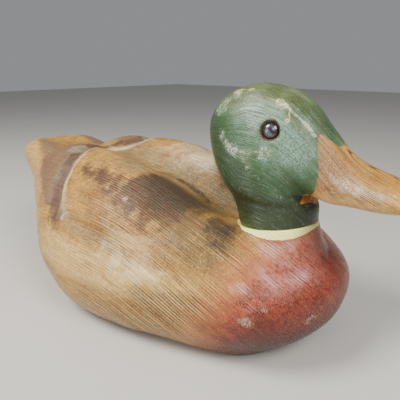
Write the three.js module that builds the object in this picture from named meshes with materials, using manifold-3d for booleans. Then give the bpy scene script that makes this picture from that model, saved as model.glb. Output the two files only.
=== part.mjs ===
// Duck decoy carved from two blocks of wood and painted as a drake.
// Millimetres. +Z is up, the bill points along -Y and the duck's own left side is +X.
// Lengths along the duck are first given as "ahead", counted from the middle of the neck seam.
import * as THREE from "three";
import { mergeVertices } from "three/addons/utils/BufferGeometryUtils.js";
import Module from "manifold-3d";

// Whole duck
const MIDDLE_AHEAD = -91.3; // halfway between tail and bill tip, put over the origin
const SEAM_GAP = 0.35; // paint-thin joint between head and body
const DEGREE = Math.PI / 180;

// Neck seam, where the head block sits on the body
const SEAM_RADIUS = 25.2;
const SEAM_HEIGHT = 84.1;
const SEAM_TILT = 7.6 * DEGREE; // front edge higher than the back edge
const FLARE = 12; // how far the neck root spreads at the sides before it meets the body
const FLARE_BACKWARD = 2; // this much farther onto the back, and less onto the breast
const FLARE_LEAN = 2.5; // the root leaves the seam nearly upright
const FLARE_RISE = 0.4; // share of the root's height spent on that upright start
const FLARE_SINK = 0.4; // the root's lower edge lies this far inside the body
const FLARE_STEPS = 6;
const SHOULDER_SLOPE = 0.35; // the back climbs no faster than this away from the seam
const SEAM_SIDES = 52;

// Body: tail end to breast end
const TAIL_END = -282.2;
const BREAST_END = 44.4;
const BREAST_START = -45;
const BREAST_POWERS = [2.2, 2.2];
const TAIL_START = -262;
const TAIL_POWERS = [3.0, 2.2];
const BODY_STATIONS = 60;
const TOP_STEPS = 30; // over the back from one side to the other
const LOW_STEPS = 6; // down each flank to the underside
const STEEPEST_FOOT = 82 * DEGREE;
const DIP_FADE = 3; // the dip in the back is full from a third of the way up each side
const ALMOST_SIDE = 0.999;

// Cross sections: half-width, height of the wing tops and of the middle of the back,
// half-width of the dip between them, widest height, lowest line and squareness
const BODY = [
  { ahead: -300, half: 31.1, tops: 111.2, back: 111.2, dip: 22, widest: 105.2, low: 93.9, power: 2.6 },
  { ahead: -275, half: 35.1, tops: 110.9, back: 110.9, dip: 23, widest: 99.8, low: 84.6, power: 2.6 },
  { ahead: -250, half: 39.9, tops: 119.6, back: 108, dip: 25, widest: 84.7, low: 60.5, power: 2.4 },
  { ahead: -222, half: 54.2, tops: 111.2, back: 104, dip: 26, widest: 70.8, low: 31.9, power: 2.2 },
  { ahead: -198, half: 66, tops: 121.6, back: 108, dip: 24, widest: 57.2, low: 14.1, power: 2.2 },
  { ahead: -175, half: 78.3, tops: 124.8, back: 111, dip: 25, widest: 39.2, low: 1.8, power: 2.25 },
  { ahead: -125, half: 89.6, tops: 125.1, back: 102, dip: 26, widest: 33.6, low: -15, power: 2.25 },
  { ahead: -75, half: 86.1, tops: 116.6, back: 88, dip: 26, widest: 34.6, low: -14.1, power: 2.2 },
  { ahead: -45, half: 78.9, tops: 102, back: 79, dip: 26, widest: 36.9, low: -12, power: 2.1 },
  { ahead: -20, half: 72.5, tops: 95.9, back: 77, dip: 25, widest: 39.5, low: -13.6, power: 2.1 },
  { ahead: 0, half: 70.2, tops: 90.3, back: 80, dip: 25, widest: 40.6, low: -14.6, power: 2.1 },
  { ahead: 20, half: 73.7, tops: 81, back: 81, dip: 25, widest: 43.3, low: -7.8, power: 2.1 },
];

// Folded wing: the height of its lower edge round the section, 0 at the side and 90 on the back
const WING = [
  { ahead: -176, edge: 92, depth: 3.0 },
  { ahead: -166, edge: 76, depth: 5.0 },
  { ahead: -156, edge: 52, depth: 6.0 },
  { ahead: -144, edge: 31, depth: 5.5 },
  { ahead: -115, edge: 26, depth: 4.2 },
  { ahead: -90, edge: 25, depth: 3.0 },
  { ahead: -66, edge: 26, depth: 1.5 },
  { ahead: -45, edge: 30, depth: 0.0 },
];
const WING_INSIDE = 5; // the cut rises quickly onto the wing
const WING_OUTSIDE = 13; // and slowly onto the flank and tail
const DEEPEST_CUT = 6;

// Rows and stations of the body's skin are drawn together along the cut
const WING_TIP = -160;
const TIP_REACH = 45;
const TIP_PULL = 0.5;
const EDGE_REACH = 15; // degrees
const EDGE_PULL = 0.6;

// Head: each rib is a flat section from the throat side to the outer side, with the squareness of its
// outer and throat halves, widest at a share of its height. The brow ridge crosses it at so many
// degrees and swells it by a share.
const HEAD = [
  { out: [-25, 80.8], in: [25, 87.4], half: 25.2, wide: 0.5, powers: [2, 2], brow: [51, 0] },
  { out: [-30.5, 96], in: [24.9, 96], half: 25, wide: 0.5, powers: [2, 2], brow: [51, 0] },
  { out: [-41.7, 111], in: [23.1, 100.9], half: 27.9, wide: 0.5, powers: [2, 2], brow: [51, 0] },
  { out: [-49.4, 131.1], in: [21.1, 103.9], half: 29.1, wide: 0.5, powers: [2.1, 2], brow: [52, 0.01] },
  { out: [-47, 152], in: [20.2, 105.2], half: 29.3, wide: 0.5, powers: [2.2, 2], brow: [53, 0.03] },
  { out: [-34.1, 165.1], in: [20.8, 106.2], half: 28.6, wide: 0.5, powers: [2.3, 2], brow: [53, 0.05] },
  { out: [-14.8, 170.1], in: [21.9, 106.6], half: 26.3, wide: 0.48, powers: [2.35, 2], brow: [53, 0.06] },
  { out: [4.6, 166.4], in: [24.8, 106.3], half: 22.3, wide: 0.45, powers: [2.35, 2.1], brow: [53, 0.065] },
  { out: [18, 158.5], in: [29, 105.2], half: 18.4, wide: 0.42, powers: [2.25, 2.2], brow: [53, 0.07] },
  { out: [30.6, 145.9], in: [36.7, 103.6], half: 15.5, wide: 0.38, powers: [2.05, 2.4], brow: [53, 0.075] },
  { out: [43.7, 134], in: [45.8, 104.3], half: 15.4, wide: 0.36, powers: [1.85, 2.6], brow: [46, 0.055] },
  { out: [61, 126.3], in: [61.4, 105.6], half: 16.5, wide: 0.36, powers: [1.8, 2.7], brow: [34, 0.035] },
  { out: [79, 121.8], in: [77, 107.4], half: 16.6, wide: 0.38, powers: [1.8, 2.8], brow: [34, 0.02] },
  { out: [92, 119.2], in: [90, 108.9], half: 13.2, wide: 0.42, powers: [1.9, 2.6], brow: [40, 0.01] },
];
const BILL_TIP = [100, 113.4];
const BILL_TIP_POWER = 2.2;
const BILL_TIP_RIBS = 4;
const HEAD_SECTIONS = 43;
const HEAD_STEPS = 14; // over the outer side, and as many over the throat side
const BROW_STEP = 4; // the row that follows the ridge
const BROW_WIDTH = 1.2; // in rows
const JAW_RIB = 1.5; // the cheek stands out a little over the neck here
const JAW_REACH = 0.35;
const JAW_DEPTH = 0.035;

// Glass eyes in countersunk holes
const EYE_AHEAD = 5.3;
const EYE_HEIGHT = 145.4;
const EYE_OUT = 24.1;
const EYE_AIM = [0.92, -0.32, 0.22];
const EYE_RADIUS = 4.85;
const EYE_BACK = 3.2;
const EYE_PROUD = 0.4;
const SOCKET_CLEARANCE = 0.35;
const SOCKET_MOUTH = 6.2;
const SOCKET_SLOPE = 1.5;
const EYE_SIDES = 20;

const STUB = 6; // left above the seam, then cut away
const ABOVE_SEAM = 60;

// Smooth curve through a few named values, straight tangents at both ends.
function curve(knots, values, at) {
  const last = knots.length - 1;
  const x = Math.min(Math.max(at, knots[0]), knots[last]);
  let i = 0;
  while (i < last - 1 && x >= knots[i + 1]) {
    i += 1;
  }
  const slope = (k) => {
    const a = Math.max(k - 1, 0);
    const b = Math.min(k + 1, last);
    return (values[b] - values[a]) / (knots[b] - knots[a]);
  };
  const span = knots[i + 1] - knots[i];
  const t = (x - knots[i]) / span;
  return (
    ((2 * t - 3) * t * t + 1) * values[i] +
    (t - 2) * t * t * span * slope(i) +
    t * span * slope(i) +
    (3 - 2 * t) * t * t * values[i + 1] +
    (t - 1) * t * t * span * slope(i + 1)
  );
}

function along(table, name, at) {
  const knots = table.map((row) => row.ahead);
  const values = table.map((row) => row[name]);
  return curve(knots, values, at);
}

function signedPower(value, power) {
  return Math.sign(value) * Math.abs(value) ** power;
}

function seamHeight(ahead) {
  return SEAM_HEIGHT + ahead * Math.tan(SEAM_TILT);
}

// Rounding of the breast and of the tail end: 1 along the body, 0 at its two ends.
function endRounding(ahead) {
  if (ahead > BREAST_START) {
    const u = (ahead - BREAST_START) / (BREAST_END - BREAST_START);
    return Math.max(1 - u ** BREAST_POWERS[0], 0) ** (1 / BREAST_POWERS[1]);
  }
  if (ahead < TAIL_START) {
    const u = (ahead - TAIL_START) / (TAIL_END - TAIL_START);
    return Math.max(1 - u ** TAIL_POWERS[0], 0) ** (1 / TAIL_POWERS[1]);
  }
  return 1;
}

// Depth of the cut round the folded wing.
function wingCut(ahead, angle, girth) {
  const first = WING[0].ahead;
  const last = WING[WING.length - 1].ahead;
  if (ahead < first || ahead > last) {
    return 0;
  }
  const fromSide = 90 - Math.abs(((angle / DEGREE) % 360) - 90);
  const edge = along(WING, "edge", ahead);
  const rise = (along(WING, "edge", ahead + 1) - along(WING, "edge", ahead - 1)) / 2;
  const scale = girth * DEGREE;
  const distance = ((fromSide - edge) * scale) / Math.hypot(1, rise * scale);
  const reach = distance > 0 ? WING_INSIDE : WING_OUTSIDE;
  const ease = Math.min(1, (ahead - first) / WING_INSIDE);
  return along(WING, "depth", ahead) * ease * Math.exp(-((distance / reach) ** 2));
}

function section(ahead) {
  const names = ["half", "tops", "back", "dip", "widest", "low", "power"];
  const values = names.map((name) => [name, along(BODY, name, ahead)]);
  return { ...Object.fromEntries(values), round: endRounding(ahead) };
}

// The back stays low round the neck, so that the painted ring is seen from all sides.
function underHead(side, ahead, height) {
  const away = Math.hypot(side, ahead) - SEAM_RADIUS;
  if (away > FLARE + FLARE_BACKWARD) {
    return height;
  }
  return Math.min(height, seamHeight(ahead) - SEAM_GAP + Math.max(away, 0) * SHOULDER_SLOPE);
}

// Height of the body's upper side; "up" is 0 at the side and 1 on the back.
function upperHeight(s, side, up) {
  const dip = (s.tops - s.back) * s.round * Math.exp(-((side / s.dip) ** 2));
  return s.widest + (s.tops - s.widest) * s.round * up - dip * Math.min(1, up * DIP_FADE);
}

function topHeight(side, ahead) {
  const s = section(ahead);
  const ratio = Math.min(Math.abs(side) / (s.half * s.round), ALMOST_SIDE);
  return underHead(side, ahead, upperHeight(s, side, (1 - ratio ** s.power) ** (1 / s.power)));
}

// A point of the body's skin: [side, ahead, height].
function bodyPoint(s, ahead, angle) {
  const up = signedPower(Math.sin(angle), 2 / s.power);
  const side = s.half * s.round * signedPower(Math.cos(angle), 2 / s.power);
  if (up < 0) {
    return [side, ahead, Math.max(s.widest + (s.widest - s.low) * s.round * up, 0)];
  }
  const height = upperHeight(s, side, up);
  const cut = wingCut(ahead, angle, s.half);
  const keep = 1 - cut / (Math.hypot(side, height - s.widest) || 1);
  const kept = s.widest + (height - s.widest) * keep;
  return [side * keep, ahead, underHead(side * keep, ahead, kept)];
}

// Draws a value towards a focus, so that rows crowd there.
function drawn(value, focus, reach, pull) {
  return value - pull * (value - focus) * Math.exp(-(((value - focus) / reach) ** 2));
}

// One ring of the body: over the back, down the left flank, middle of the underside, up the right flank.
function bodyRing(ahead) {
  const s = section(ahead);
  const edge = Math.min(along(WING, "edge", ahead), 90);
  const pull = (EDGE_PULL * Math.max(along(WING, "depth", ahead), 0)) / DEEPEST_CUT;
  const ring = [];
  for (let k = 0; k <= TOP_STEPS; k += 1) {
    const even = (180 * k) / TOP_STEPS;
    const fromSide = drawn(Math.min(even, 180 - even), edge, EDGE_REACH, pull);
    ring.push(bodyPoint(s, ahead, DEGREE * (even <= 90 ? fromSide : 180 - fromSide)));
  }
  const reach = (s.widest - s.low) * s.round;
  const onFloor = Math.asin(Math.min(s.widest / reach, 1) ** (s.power / 2));
  const foot = Math.min(onFloor, STEEPEST_FOOT);
  for (let k = 1; k <= LOW_STEPS; k += 1) {
    ring.push(bodyPoint(s, ahead, Math.PI + (foot * k) / LOW_STEPS));
  }
  ring.push(bodyPoint(s, ahead, 1.5 * Math.PI));
  for (let k = LOW_STEPS; k > 0; k -= 1) {
    ring.push(bodyPoint(s, ahead, (-foot * k) / LOW_STEPS));
  }
  return ring;
}

function toFrame(point) {
  return [point[0], MIDDLE_AHEAD - point[1], point[2]];
}

// Closed skin from rings of points, each end drawn together to one point.
function skin(rings, start, end) {
  const count = rings[0].length;
  const points = [start, ...rings.flat(), end].map(toFrame);
  const index = [];
  const lastPoint = points.length - 1;
  const at = (ring, side) => 1 + ring * count + (side % count);
  for (let side = 0; side < count; side += 1) {
    index.push(0, at(0, side + 1), at(0, side));
    index.push(lastPoint, at(rings.length - 1, side), at(rings.length - 1, side + 1));
    for (let ring = 0; ring < rings.length - 1; ring += 1) {
      index.push(at(ring, side), at(ring, side + 1), at(ring + 1, side + 1));
      index.push(at(ring, side), at(ring + 1, side + 1), at(ring + 1, side));
    }
  }
  const geometry = new THREE.BufferGeometry();
  geometry.setAttribute("position", new THREE.Float32BufferAttribute(points.flat(), 3));
  geometry.setIndex(index);
  return geometry;
}

function solid(wasm, geometry) {
  const bare = new THREE.BufferGeometry();
  const source = geometry.index ? geometry : mergeVertices(geometry);
  bare.setAttribute("position", source.getAttribute("position"));
  bare.setIndex(source.index);
  const merged = mergeVertices(bare, 1e-4);
  const shape = new wasm.Manifold(
    new wasm.Mesh({
      numProp: 3,
      vertProperties: new Float32Array(merged.getAttribute("position").array),
      triVerts: new Uint32Array(merged.index.array),
    }),
  );
  return shape.volume() < 0 ? new wasm.Manifold(flipped(wasm, merged)) : shape;
}

function flipped(wasm, merged) {
  const turned = new Uint32Array(merged.index.array);
  for (let i = 0; i < turned.length; i += 3) {
    [turned[i], turned[i + 1]] = [turned[i + 1], turned[i]];
  }
  return new wasm.Mesh({
    numProp: 3,
    vertProperties: new Float32Array(merged.getAttribute("position").array),
    triVerts: turned,
  });
}

function bodySkin() {
  const rings = [];
  for (let i = 0; i < BODY_STATIONS; i += 1) {
    const t = (1 - Math.cos((Math.PI * (i + 0.6)) / (BODY_STATIONS + 0.2))) / 2;
    const even = TAIL_END + (BREAST_END - TAIL_END) * t;
    rings.push(bodyRing(drawn(even, WING_TIP, TIP_REACH, TIP_PULL)));
  }
  const tail = section(TAIL_END);
  const breast = section(BREAST_END);
  return skin(rings, [0, TAIL_END, tail.widest], [0, BREAST_END, breast.widest]);
}

// Neck root: starts upright at the seam and runs out onto the breast and back.
function neckRoot() {
  const rings = [];
  for (let step = -1; step <= FLARE_STEPS; step += 1) {
    const t = Math.max(step, 0) / FLARE_STEPS;
    const weights = [(1 - t) ** 3, 3 * t * (1 - t) ** 2, 3 * t * t * (1 - t), t ** 3];
    const blend = (values) => weights.reduce((sum, weight, i) => sum + weight * values[i], 0);
    const ring = [];
    for (let k = 0; k < SEAM_SIDES; k += 1) {
      const turn = (2 * Math.PI * k) / SEAM_SIDES;
      const direction = [Math.cos(turn), Math.sin(turn)];
      const flare = FLARE - FLARE_BACKWARD * direction[1];
      const reach = SEAM_RADIUS + flare;
      const lead = flare / 2;
      const top = seamHeight(SEAM_RADIUS * direction[1]);
      const foot = topHeight(reach * direction[0], reach * direction[1]);
      const inner = topHeight((reach - 1) * direction[0], (reach - 1) * direction[1]);
      const upright = top - (top - foot) * FLARE_RISE;
      const height = blend([top, upright, foot + (inner - foot) * lead, foot - FLARE_SINK]);
      const radius = blend([SEAM_RADIUS, SEAM_RADIUS + FLARE_LEAN, reach - lead, reach]);
      ring.push([radius * direction[0], radius * direction[1], height + (step < 0 ? STUB : 0)]);
    }
    rings.push(ring);
  }
  return skin(rings, [0, 0, SEAM_HEIGHT + STUB], [0, 0, SEAM_HEIGHT / 2]);
}

// Everything above the tilted seam, round the neck only.
function aboveSeam() {
  const rings = [0, 1].map((level) => {
    const ring = [];
    for (let k = 0; k < SEAM_SIDES; k += 1) {
      const turn = (2 * Math.PI * k) / SEAM_SIDES;
      const radius = SEAM_RADIUS + SEAM_GAP;
      const ahead = radius * Math.sin(turn);
      ring.push([radius * Math.cos(turn), ahead, seamHeight(ahead) + level * ABOVE_SEAM]);
    }
    return ring;
  });
  return skin(rings, [0, 0, SEAM_HEIGHT], [0, 0, SEAM_HEIGHT + ABOVE_SEAM]);
}

function headRib(t) {
  const knots = HEAD.map((_, i) => i);
  const value = (pick) => curve(knots, HEAD.map(pick), t);
  const jaw = 1 - JAW_DEPTH * Math.exp(-(((t - JAW_RIB) / JAW_REACH) ** 2));
  return {
    out: [value((r) => r.out[0]), value((r) => r.out[1])],
    in: [value((r) => r.in[0]), value((r) => r.in[1])],
    half: value((r) => r.half) * jaw,
    wide: value((r) => r.wide),
    powers: [value((r) => r.powers[0]), value((r) => r.powers[1])],
    brow: [value((r) => r.brow[0]), value((r) => r.brow[1])],
  };
}

// A point of a rib; rows 0 to HEAD_STEPS go over the outer side, the others over the throat side.
function ribPoint(rib, row) {
  const outer = row <= HEAD_STEPS;
  const fromSide = Math.min(row, HEAD_STEPS - row);
  const above = (fromSide - BROW_STEP) / (HEAD_STEPS / 2 - BROW_STEP);
  const [place, crest] = rib.brow;
  const degrees = above < 0 ? (place * fromSide) / BROW_STEP : place + (90 - place) * above;
  const angle = DEGREE * (outer ? degrees : (-180 * (row - HEAD_STEPS)) / HEAD_STEPS);
  const power = rib.powers[outer ? 0 : 1];
  const half = outer ? 1 - rib.wide : rib.wide;
  const swell = outer ? 1 + crest * Math.exp(-Math.abs(fromSide - BROW_STEP) / BROW_WIDTH) : 1;
  const mirrored = outer ? (row > HEAD_STEPS / 2 ? -1 : 1) : -1;
  const across = mirrored * rib.half * swell * signedPower(Math.cos(angle), 2 / power);
  const u = rib.wide + half * swell * signedPower(Math.sin(angle), 2 / power);
  return [
    across,
    rib.in[0] + u * (rib.out[0] - rib.in[0]),
    rib.in[1] + u * (rib.out[1] - rib.in[1]),
  ];
}

function headSkin() {
  const rings = [];
  const ringOf = (rib) => Array.from({ length: 2 * HEAD_STEPS }, (_, row) => ribPoint(rib, row));
  for (let i = 0; i < HEAD_SECTIONS; i += 1) {
    rings.push(ringOf(headRib(((HEAD.length - 1) * i) / (HEAD_SECTIONS - 1))));
  }
  const last = HEAD[HEAD.length - 1];
  for (let i = 1; i <= BILL_TIP_RIBS; i += 1) {
    const t = Math.sin((0.5 * Math.PI * i) / (BILL_TIP_RIBS + 0.4));
    const size = (1 - t ** BILL_TIP_POWER) ** (1 / BILL_TIP_POWER);
    const middle = [(last.out[0] + last.in[0]) / 2, (last.out[1] + last.in[1]) / 2];
    const centre = middle.map((m, k) => m + (BILL_TIP[k] - m) * t);
    const end = (point) => point.map((value, k) => centre[k] + (value - middle[k]) * size);
    rings.push(ringOf({ ...last, out: end(last.out), in: end(last.in), half: last.half * size }));
  }
  rings[0] = rings[0].map((p) => [p[0], p[1], seamHeight(p[1]) + SEAM_GAP]);
  return skin(rings, [0, 0, SEAM_HEIGHT + SEAM_GAP], [0, ...BILL_TIP]);
}

// Round profile turned about the eye's own axis; z points out of the head.
function turned(profile, hand) {
  const points = profile.map((p) => new THREE.Vector2(p[0], p[1]));
  const geometry = new THREE.LatheGeometry(points, EYE_SIDES);
  geometry.deleteAttribute("normal");
  geometry.deleteAttribute("uv");
  geometry.rotateX(Math.PI / 2);
  const aim = new THREE.Vector3(hand * EYE_AIM[0], EYE_AIM[1], EYE_AIM[2]).normalize();
  const turn = new THREE.Quaternion().setFromUnitVectors(new THREE.Vector3(0, 0, 1), aim);
  geometry.applyQuaternion(turn);
  geometry.translate(hand * EYE_OUT, MIDDLE_AHEAD - EYE_AHEAD, EYE_HEIGHT);
  return mergeVertices(geometry, 1e-4);
}

function socketShape(hand) {
  const bore = EYE_RADIUS + SOCKET_CLEARANCE;
  const floor = -EYE_BACK - SOCKET_CLEARANCE;
  const above = 6;
  const mouth = SOCKET_MOUTH + (above * (SOCKET_MOUTH - bore)) / SOCKET_SLOPE;
  return turned([[0, floor], [bore, floor], [bore, -SOCKET_SLOPE], [mouth, above], [0, above]], hand);
}

function eyeShape(hand) {
  const profile = [[0, -EYE_BACK], [EYE_RADIUS, -EYE_BACK]];
  const steps = 5;
  const dome = EYE_RADIUS * 0.55;
  for (let i = 0; i < steps; i += 1) {
    const turn = (0.5 * Math.PI * i) / steps;
    profile.push([EYE_RADIUS * Math.cos(turn), EYE_PROUD - dome + dome * Math.sin(turn)]);
  }
  profile.push([0, EYE_PROUD]);
  return turned(profile, hand);
}

function toMesh(name, shape, material) {
  const result = shape.getMesh();
  const geometry = new THREE.BufferGeometry();
  const positions = new Float32Array(result.vertProperties);
  geometry.setAttribute("position", new THREE.BufferAttribute(positions, 3));
  geometry.setIndex(new THREE.BufferAttribute(new Uint32Array(result.triVerts), 1));
  geometry.computeVertexNormals();
  const mesh = new THREE.Mesh(geometry, material);
  mesh.name = name;
  return mesh;
}

function paint(color, roughness) {
  return new THREE.MeshStandardMaterial({ color, roughness, metalness: 0 });
}

const wasm = await Module();
wasm.setup();

const body = solid(wasm, bodySkin())
  .add(solid(wasm, neckRoot()))
  .subtract(solid(wasm, aboveSeam()));

let head = solid(wasm, headSkin());
for (const hand of [-1, 1]) {
  head = head.subtract(solid(wasm, socketShape(hand)));
}

const duck = new THREE.Group();
duck.name = "duck_decoy";
duck.add(toMesh("body", body, paint(0x9c7a4d, 0.5)));
duck.add(toMesh("head", head, paint(0x2f6a45, 0.45)));
duck.add(toMesh("eye_right", solid(wasm, eyeShape(-1)), paint(0x1c1410, 0.08)));
duck.add(toMesh("eye_left", solid(wasm, eyeShape(1)), paint(0x1c1410, 0.08)));

export default duck;
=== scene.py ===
import math

import bmesh
import bpy
import numpy as np
from bpy.props import FloatProperty, FloatVectorProperty, PointerProperty
from bpy.types import Operator, Panel, PropertyGroup
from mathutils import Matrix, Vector


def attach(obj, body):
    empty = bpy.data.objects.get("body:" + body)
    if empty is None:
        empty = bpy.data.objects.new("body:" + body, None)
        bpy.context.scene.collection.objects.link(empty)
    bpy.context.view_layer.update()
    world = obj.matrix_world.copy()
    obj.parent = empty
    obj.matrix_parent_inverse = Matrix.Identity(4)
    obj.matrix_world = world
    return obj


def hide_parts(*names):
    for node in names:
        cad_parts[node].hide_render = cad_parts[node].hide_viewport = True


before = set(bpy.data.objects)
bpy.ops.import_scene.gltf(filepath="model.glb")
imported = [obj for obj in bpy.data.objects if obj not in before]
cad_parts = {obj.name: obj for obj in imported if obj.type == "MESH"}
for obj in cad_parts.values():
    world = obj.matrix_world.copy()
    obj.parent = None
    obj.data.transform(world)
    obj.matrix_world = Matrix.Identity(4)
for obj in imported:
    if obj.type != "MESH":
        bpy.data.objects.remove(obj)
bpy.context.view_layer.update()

bl_info = {
    "name": "Duck Decoy",
    "version": (1, 0, 0),
    "blender": (4, 5, 0),
    "location": "View3D > Sidebar > Decoy",
    "description": "Builds a carved and painted duck decoy, piece by piece",
    "category": "Add Mesh",
}

MM = 0.001

# Lengths along the duck are "ahead", counted from the middle of the neck seam.
MIDDLE_AHEAD = -91.3
SEAM_GAP = 0.35
SEAM_RADIUS = 25.2
SEAM_HEIGHT = 84.1
SEAM_TILT = math.radians(7.6)
FLARE = 12.0
FLARE_BACKWARD = 2.0
FLARE_LEAN = 2.5
FLARE_RISE = 0.4
FLARE_SINK = 0.4
SHOULDER_SLOPE = 0.35

TAIL_END = -282.2
TAIL_START = -262.0
TAIL_POWERS = (3.0, 2.2)
DIP_EASE = 3.0
BREAST_END = 44.4
BREAST_START = -45.0
BREAST_POWERS = (2.2, 2.2)
STEEPEST_FOOT = 82.0
FLAT_FOOT = 8.0

# Cross sections of the body: ahead, half-width, wing tops, middle of the back, half-width of the dip in it,
# widest height, low line, squareness
BODY = np.array([
    (-300, 31.1, 111.2, 111.2, 22, 105.2, 93.9, 2.6),
    (-275, 35.1, 110.9, 110.9, 23, 99.8, 84.6, 2.6),
    (-250, 39.9, 119.6, 108, 25, 84.7, 60.5, 2.4),
    (-222, 54.2, 111.2, 104, 26, 70.8, 31.9, 2.2),
    (-198, 66, 121.6, 108, 24, 57.2, 14.1, 2.2),
    (-175, 78.3, 124.8, 111, 25, 39.2, 1.8, 2.25),
    (-125, 89.6, 125.1, 102, 26, 33.6, -15, 2.25),
    (-75, 86.1, 116.6, 88, 26, 34.6, -14.1, 2.2),
    (-45, 78.9, 102, 79, 26, 36.9, -12, 2.1),
    (-20, 72.5, 95.9, 77, 25, 39.5, -13.6, 2.1),
    (0, 70.2, 90.3, 80, 25, 40.6, -14.6, 2.1),
    (20, 73.7, 81, 81, 25, 43.3, -7.8, 2.1),
], float)

# Lower edge of the folded wing: ahead, place round the section in degrees, depth of the cut
WING = np.array([
    (-176, 92, 3.0),
    (-166, 76, 5.0),
    (-156, 52, 6.0),
    (-144, 31, 5.5),
    (-115, 26, 4.2),
    (-90, 25, 3.0),
    (-66, 26, 1.5),
    (-45, 30, 0.0),
], float)
WING_INSIDE = 5.0
WING_OUTSIDE = 13.0
DEEPEST_CUT = 6.0
WING_TIP = -160.0
TIP_REACH = 45.0
TIP_PULL = 0.5
EDGE_REACH = 15.0
EDGE_PULL = 0.3

BODY_STATIONS = 136
END_STEP = 0.6
BACK_STEPS = 520
FLANK_STEPS = 60
ROOT_STEPS = 24
ROOT_SIDES = 200
ROOT_BLEND = 5.0
ROOT_RUBS = 6
GIRTH_MIDDLE = 35.0
WING_STOPS = 14
RAMP_DEGREES = 100.0
RAMP_WEIGHT = 2.0

# Ribs of the head: outer ahead and height, throat ahead and height, half-width, where widest, squareness of
# the outer and throat halves, place of the brow ridge in degrees, how far it swells
HEAD = np.array([
    (-25, 80.8, 25, 87.4, 25.2, 0.5, 2, 2, 51, 0),
    (-30.5, 96, 24.9, 96, 25, 0.5, 2, 2, 51, 0),
    (-41.7, 111, 23.1, 100.9, 27.9, 0.5, 2, 2, 51, 0),
    (-49.4, 131.1, 21.1, 103.9, 29.1, 0.5, 2.1, 2, 52, 0.01),
    (-47, 152, 20.2, 105.2, 29.3, 0.5, 2.2, 2, 53, 0.03),
    (-34.1, 165.1, 20.8, 106.2, 28.6, 0.5, 2.3, 2, 53, 0.05),
    (-14.8, 170.1, 21.9, 106.6, 26.3, 0.48, 2.35, 2, 53, 0.06),
    (4.6, 166.4, 24.8, 106.3, 22.3, 0.45, 2.35, 2.1, 53, 0.065),
    (18, 158.5, 29, 105.2, 18.4, 0.42, 2.25, 2.2, 53, 0.07),
    (30.6, 145.9, 36.7, 103.6, 15.5, 0.38, 2.05, 2.4, 53, 0.075),
    (43.7, 134, 45.8, 104.3, 15.4, 0.36, 1.85, 2.6, 46, 0.055),
    (61, 126.3, 61.4, 105.6, 16.5, 0.36, 1.8, 2.7, 34, 0.035),
    (79, 121.8, 77, 107.4, 16.6, 0.38, 1.8, 2.8, 34, 0.02),
    (92, 119.2, 90, 108.9, 13.2, 0.42, 1.9, 2.6, 40, 0.01),
], float)
BILL_TIP = (100.0, 113.4)
BILL_TIP_POWER = 2.2
BROW_AT = 4 / 7
BROW_WIDTH = 1.2 / 7
JAW_RIB = 1.5
JAW_REACH = 0.35
JAW_DEPTH = 0.035
HEAD_SECTIONS = 390
HEAD_STEPS = 116
BILL_TIP_RIBS = 14
BILL_TIP_STEP = 0.4
BROW_SOFT = 0.02

EYE_AHEAD = 5.3
EYE_HEIGHT = 145.4
EYE_OUT = 24.1
EYE_AIM = (0.92, -0.32, 0.22)
EYE_RADIUS = 4.85
EYE_PROUD = 0.4
EYE_BACK = 1.9
EYE_DOME = 0.55 * EYE_RADIUS
EYE_RINGS = 26
EYE_SIDES = 48
SOCKET_RADIUS = 6.2
SOCKET_INNER = EYE_RADIUS - 0.4
SOCKET_DEPTH = 2.6
SOCKET_POWER = 1.5
SOCKET_REACH = 12.0
SOCKET_RAGGED = 0.35

# Lines of the grain, combed along the duck
COMB_PITCH = 1.7
HEAD_PITCH = 0.7 * COMB_PITCH
RIPPLE_PITCH = 5.7
FOLD_SIDE = 30.0
GRAIN_TURN = -75.0
GRAIN_TURN_SOFT = 25.0
GRAIN_FALL = 0.17
GRAIN_SLANT = 0.7071
FOREHEAD_TURN = 12.0
FOREHEAD_FALL = 0.525
BILL_TURN = 50.0
BILL_RISE = 0.35
HEAD_TURN_SOFT = 10.0
CROWN_SOFT = 4.0
CROWN_FALL = 0.6
NAPE_AHEAD = -12.0
NAPE_TOP = 140.0
NAPE_EASE = 20.0
NAPE_TURN = 0.8

# How deep the paint's own relief goes, in metres
BODY_RELIEF = 0.0009
HEAD_RELIEF = 0.0008
GLASS_RELIEF = 0.00002
CLOTH_RELIEF = 0.0002

# Unevenness of handwork: size of the waves and the seed they are drawn from
BODY_WAVES = (46, 3)
RIPPLE_WAVES = (30, 11)
HEAD_WAVES = (30, 5)
SOCKET_WAVES = (5, 8)

# How much of the comb shows on the body, how far that swings, and how the swings stretch along the grain
RIPPLE_SHARE = 0.6
RIPPLE_SWING = 0.5
RIPPLE_STRETCH = (1, 0.35, 1)
# The head is rasped finer than the body, and not at all at the seam
HEAD_SHARE = 0.6
SEAM_EASE = 6.0

# Painted marks, each a line of places: side, ahead, height
CREASE = ((-1, -108, 99), (3, -98, 96), (3, -83, 91.6), (2, -71, 87.7), (-1, -60, 84))
CHEEK_ARC = ((-27.5, -26, 140), (-28.7, -20.5, 134), (-29.1, -14, 130.5), (-28.6, -8, 131), (-26.5, 8, 132.8))
CHEEK_DRIP = ((-29.1, -13, 130), (-29, -8, 127), (-28.2, -4.8, 125))
FAR_CHEEK = ((29, -22, 136), (29, -12, 130.5), (28, -3, 128))
CROWN_FLAKES = ((-16, -25.3, 165), (-16.7, -14.5, 166.5))
BROW_CHIPS = ((-16.5, 5, 161.2), (-15.8, 9.3, 159.1))
# Line of the painted highlight along the brow ridge
BROW_EDGE = (
    (15.8, 9.3, 159.1), (15.4, 13.8, 155.5), (14.3, 18.5, 151.9), (13.2, 23.1, 147.8), (12.3, 27.4, 143.2),
)
PALE_RUN = ((-15.1, 11.1, 158.7), (-15.6, 12.9, 156.4), (-16.8, 12.8, 154.5), (-17.4, 13.8, 152.4))
# Line of the painted highlight along each side of the bill, over pale wear
BILL_SHINE = ((-13, 41, 121), (-13.5, 50, 118), (-13.5, 62, 116), (-13, 76, 114))

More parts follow.
